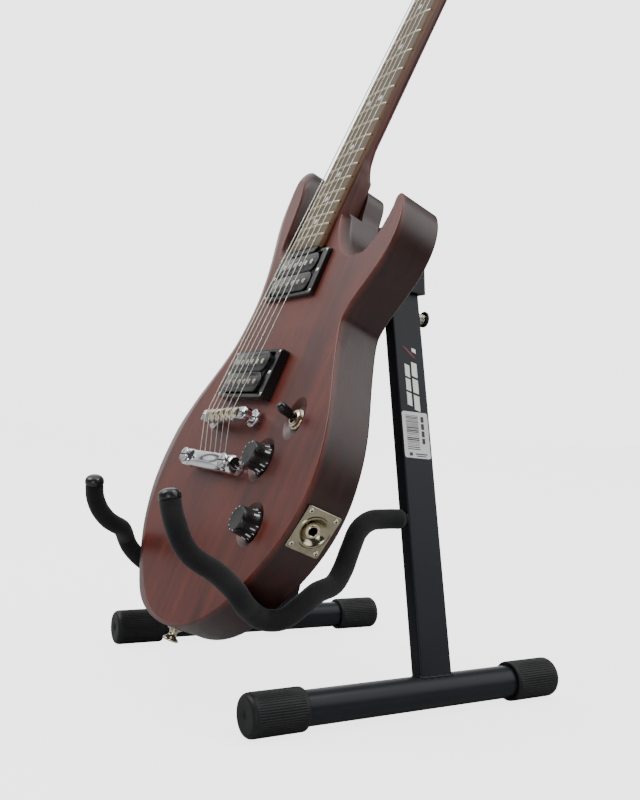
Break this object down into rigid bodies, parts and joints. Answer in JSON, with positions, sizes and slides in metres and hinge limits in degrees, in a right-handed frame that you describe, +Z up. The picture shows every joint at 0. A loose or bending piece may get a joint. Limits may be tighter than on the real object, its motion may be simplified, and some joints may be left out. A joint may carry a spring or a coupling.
{
  "type": "electric guitar on stand",
  "caption": "Solid-body electric guitar with bolt-on neck leaning on a folding A-frame stand with foam-sleeved arms; legs fold, knobs, selector and tuners turn.",
  "frame": {"origin": "middle of the whole outline, on the floor", "axes": "+Z up; -Y is where the front of the guitar faces; +X is the treble side, where the knobs are"},
  "size_m": [0.3244, 0.464, 0.9203],
  "materials": {
    "stand_steel": "satin",
    "foam": "matt",
    "rest_pad": "matt",
    "cap_plastic": "satin",
    "body_wood": "satin",
    "neck_wood": "satin",
    "fingerboard_wood": "matt",
    "black_plastic": "satin",
    "pickup_black": "gloss",
    "knob_black": "gloss",
    "chrome": "polished",
    "string_steel": "polished",
    "nickel": "polished"
  },
  "bodies": {
    "head": {"head_housing": "stand_steel", "back_rest_pad": "rest_pad", "right_pivot_bolt": "stand_steel", "left_pivot_bolt": "stand_steel", "lock_plate": "stand_steel"},
    "right_leg_frame": {"right_leg": "stand_steel", "right_foot_tube": "stand_steel", "right_front_foot_cap": "cap_plastic", "right_rear_foot_cap": "cap_plastic", "right_arm_rod": "stand_steel", "right_arm_foam": "foam", "right_arm_tip": "cap_plastic", "lock_spring": "nickel"},
    "left_leg_frame": {"left_leg": "stand_steel", "left_foot_tube": "stand_steel", "left_front_foot_cap": "cap_plastic", "left_rear_foot_cap": "cap_plastic", "left_arm_rod": "stand_steel", "left_arm_foam": "foam", "left_arm_tip": "cap_plastic"},
    "lock_release": {"lock_pin": "cap_plastic"},
    "guitar": {"body": "body_wood", "control_cover": "black_plastic", "neck": "neck_wood", "fingerboard": "fingerboard_wood", "nut": "black_plastic", "neck_pickup_ring": "black_plastic", "neck_pickup": "pickup_black", "bridge_pickup_ring": "black_plastic", "bridge_pickup": "pickup_black", "bridge_body": "chrome", "bass_bridge_post": "chrome", "treble_bridge_post": "chrome", "tailpiece": "chrome", "bass_tailpiece_stud": "chrome", "treble_tailpiece_stud": "chrome", "low_e_string": "string_steel", "a_string": "string_steel", "d_string": "string_steel", "g_string": "string_steel", "b_string": "string_steel", "high_e_string": "string_steel", "volume_pot": "nickel", "tone_pot": "nickel", "toggle_switch": "nickel", "jack_plate": "nickel", "jack_socket": "nickel", "tail_strap_button": "nickel", "heel_strap_button": "nickel", "bass_machine_heads": "nickel", "treble_machine_heads": "nickel"},
    "volume_control": {"volume_knob": "knob_black"},
    "tone_control": {"tone_knob": "knob_black"},
    "pickup_selector": {"toggle_lever": "knob_black"},
    "bass_tuner_1": {"bass_tuner_button_1": "nickel"},
    "bass_tuner_2": {"bass_tuner_button_2": "nickel"},
    "bass_tuner_3": {"bass_tuner_button_3": "nickel"},
    "treble_tuner_1": {"treble_tuner_button_1": "nickel"},
    "treble_tuner_2": {"treble_tuner_button_2": "nickel"},
    "treble_tuner_3": {"treble_tuner_button_3": "nickel"}
  },
  "joints": [
    {"name": "guitar_lift", "type": "slide", "parent": "head", "child": "guitar", "axis": [0, 0.3665, 0.9304], "range_m": [0, 0.45]},
    {"name": "right_leg_fold", "type": "hinge", "parent": "head", "child": "right_leg_frame", "pos_m": [0.02801, 0.00408, 0.36522], "axis": [0, 0.9985, -0.055], "range_deg": [0, 15]},
    {"name": "left_leg_fold", "type": "hinge", "parent": "head", "child": "left_leg_frame", "pos_m": [-0.02489, 0.00408, 0.36522], "axis": [0, 0.9985, -0.055], "range_deg": [-15, 0]},
    {"name": "lock_press", "type": "slide", "parent": "right_leg_frame", "child": "lock_release", "axis": [0, -0.9985, 0.055], "range_m": [0, 0.004], "stiffness_N_per_m": 300, "springref_m": -0.004, "deforming": ["lock_spring"]},
    {"name": "volume_turn", "type": "hinge", "parent": "guitar", "child": "volume_control", "pos_m": [0.07156, -0.14196, 0.18868], "axis": [0, -0.9304, 0.3665], "range_deg": [-270, 30]},
    {"name": "tone_turn", "type": "hinge", "parent": "guitar", "child": "tone_control", "pos_m": [0.09656, -0.16046, 0.1417], "axis": [0, -0.9304, 0.3665], "range_deg": [-270, 30]},
    {"name": "selector_tilt", "type": "hinge", "parent": "guitar", "child": "pickup_selector", "pos_m": [0.09856, -0.1282, 0.22088], "axis": [1, 0, 0], "range_deg": [0, 26]},
    {"name": "bass_tuner_1_turn", "type": "hinge", "parent": "guitar", "child": "bass_tuner_1", "pos_m": [-0.04344, 0.16374, 0.81759], "axis": [-1, 0, 0], "continuous": true},
    {"name": "bass_tuner_2_turn", "type": "hinge", "parent": "guitar", "child": "bass_tuner_2", "pos_m": [-0.04344, 0.18617, 0.84575], "axis": [-1, 0, 0], "continuous": true},
    {"name": "bass_tuner_3_turn", "type": "hinge", "parent": "guitar", "child": "bass_tuner_3", "pos_m": [-0.04344, 0.20861, 0.87391], "axis": [-1, 0, 0], "continuous": true},
    {"name": "treble_tuner_1_turn", "type": "hinge", "parent": "guitar", "child": "treble_tuner_1", "pos_m": [0.04656, 0.16374, 0.81759], "axis": [1, 0, 0], "continuous": true},
    {"name": "treble_tuner_2_turn", "type": "hinge", "parent": "guitar", "child": "treble_tuner_2", "pos_m": [0.04656, 0.18617, 0.84575], "axis": [1, 0, 0], "continuous": true},
    {"name": "treble_tuner_3_turn", "type": "hinge", "parent": "guitar", "child": "treble_tuner_3", "pos_m": [0.04656, 0.20861, 0.87391], "axis": [1, 0, 0], "continuous": true}
  ],
  "couplings": [
    {"joint": "right_leg_fold", "follows": "guitar_lift", "rad_per_m": 0.58178},
    {"joint": "left_leg_fold", "follows": "guitar_lift", "rad_per_m": -0.58178}
  ]
}
